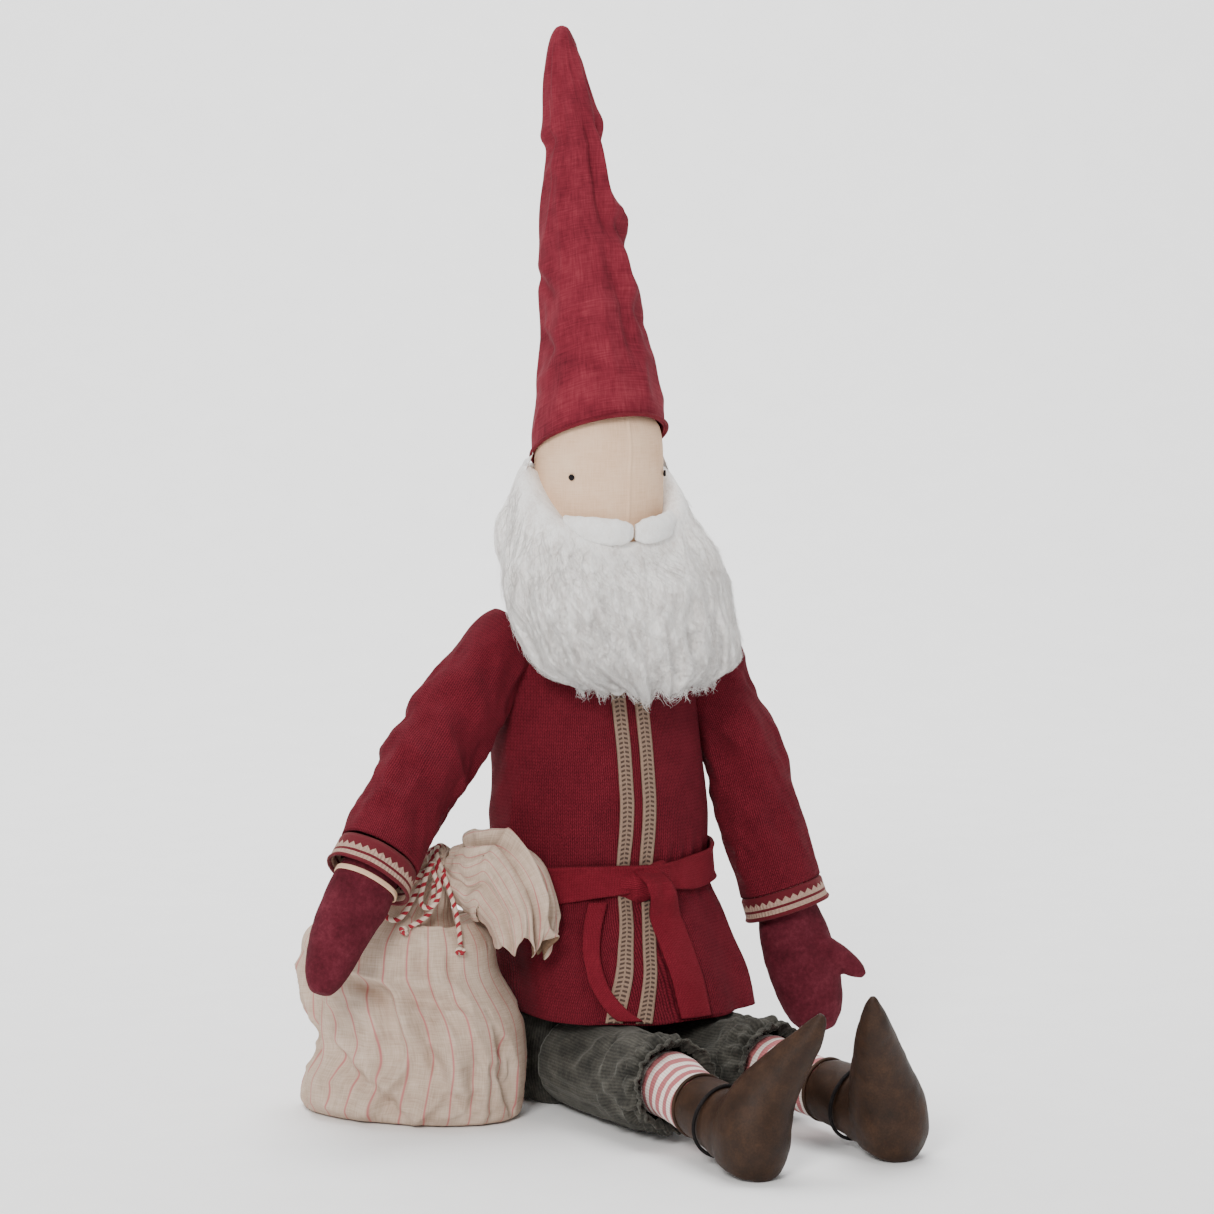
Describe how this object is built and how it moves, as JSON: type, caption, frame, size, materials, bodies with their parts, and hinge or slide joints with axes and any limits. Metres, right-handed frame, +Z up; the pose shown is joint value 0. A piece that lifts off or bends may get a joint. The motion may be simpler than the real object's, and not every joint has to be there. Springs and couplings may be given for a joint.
{
  "type": "tomte gnome doll",
  "caption": "Seated soft cloth gnome with a tall pointed hat, wool beard, belted knit coat, mittens, striped stockings and upturned boots, its hand on a tied linen sack.",
  "frame": {"origin": "on the floor under the middle of the seat", "axes": "+Z up, the doll faces -Y, +X towards its left hand"},
  "size_m": [0.4216, 0.3642, 0.725],
  "materials": {
    "red_linen": "washed linen weave",
    "red_knit": "fine felted knit",
    "dark_red_knit": "fine felted knit",
    "mitten_wool": "wool felt",
    "face_linen": "smooth linen",
    "white_wool": "loose wool fibre",
    "band_crochet": "crocheted cotton band",
    "grey_corduroy": "fine corduroy",
    "striped_knit": "striped knit",
    "boot_leather": "matt soft leather",
    "black_cord": "waxed cord",
    "striped_linen": "striped linen weave",
    "twine": "two-colour twisted cotton",
    "filling": "fibre filling",
    "pellets": "pellets in a bag",
    "black_thread": "embroidery thread"
  },
  "bodies": {
    "torso": {"torso_stuffing": "filling", "pellet_bag": "pellets", "coat_body": "red_knit", "coat_skirt": "red_knit", "front_band_right": "band_crochet", "front_band_left": "band_crochet", "belt_loop": "dark_red_knit", "belt_knot": "dark_red_knit", "belt_end_wide": "dark_red_knit", "belt_end_narrow": "dark_red_knit", "trousers_seat": "grey_corduroy", "thigh_right": "grey_corduroy", "thigh_left": "grey_corduroy"},
    "head": {"head_stuffing": "face_linen", "eye_right": "black_thread", "eye_left": "black_thread", "moustache_right": "white_wool", "moustache_left": "white_wool", "beard": "white_wool", "back_hair": "white_wool", "hat": "red_linen", "hat_hem": "red_linen", "hat_stiffener": "filling"},
    "arm_right": {"sleeve_right": "red_knit", "arm_stuffing_right": "filling", "cuff_border_right": "band_crochet", "mitten_right": "mitten_wool", "mitten_lining_right": "face_linen"},
    "arm_left": {"sleeve_left": "red_knit", "arm_stuffing_left": "filling", "cuff_border_left": "band_crochet", "mitten_left": "mitten_wool"},
    "thigh_front_right": {"trouser_leg_right": "grey_corduroy", "knee_hem_right": "grey_corduroy"},
    "thigh_front_left": {"trouser_leg_left": "grey_corduroy", "knee_hem_left": "grey_corduroy"},
    "shin_right": {"stocking_right": "striped_knit", "boot_right": "boot_leather", "ankle_cord_right": "black_cord"},
    "shin_left": {"stocking_left": "striped_knit", "boot_left": "boot_leather", "ankle_cord_left": "black_cord"},
    "sack": {"sack_body": "striped_linen", "sack_ruffle": "striped_linen", "sack_filling": "filling", "twine_wraps": "twine", "twine_loop_outer": "twine", "twine_loop_inner": "twine", "twine_end_left": "twine", "twine_end_right": "twine", "twine_knot_left": "twine", "twine_knot_right": "twine"}
  },
  "joints": [
    {"name": "head_turn", "type": "hinge", "parent": "torso", "child": "head", "pos_m": [0.0016, 0, 0.345], "axis": [0, 0, 1], "range_deg": [-12, 12]},
    {"name": "shoulder_right", "type": "hinge", "parent": "torso", "child": "arm_right", "pos_m": [-0.072, 0.003, 0.311], "axis": [0, 1, 0], "range_deg": [0, 60]},
    {"name": "shoulder_left", "type": "hinge", "parent": "torso", "child": "arm_left", "pos_m": [0.072, 0.003, 0.311], "axis": [0, -1, 0], "range_deg": [0, 70]},
    {"name": "hip_right", "type": "hinge", "parent": "torso", "child": "thigh_front_right", "pos_m": [-0.02966, -0.11186, 0.032], "axis": [-0.9986, -0.0523, 0], "range_deg": [0, 25]},
    {"name": "hip_left", "type": "hinge", "parent": "torso", "child": "thigh_front_left", "pos_m": [0.05313, -0.10325, 0.032], "axis": [-0.9816, -0.1908, 0], "range_deg": [0, 25]},
    {"name": "knee_right", "type": "hinge", "parent": "thigh_front_right", "child": "shin_right", "pos_m": [-0.02736, -0.1558, 0.03897], "axis": [-0.9986, -0.0523, 0], "range_deg": [0, 25]},
    {"name": "knee_left", "type": "hinge", "parent": "thigh_front_left", "child": "shin_left", "pos_m": [0.05885, -0.1327, 0.03675], "axis": [-0.9816, -0.1908, 0], "range_deg": [0, 25]},
    {"name": "sack_slide", "type": "slide", "parent": "torso", "child": "sack", "axis": [0.1736, -0.9848, 0], "range_m": [0, 0.028]}
  ]
}
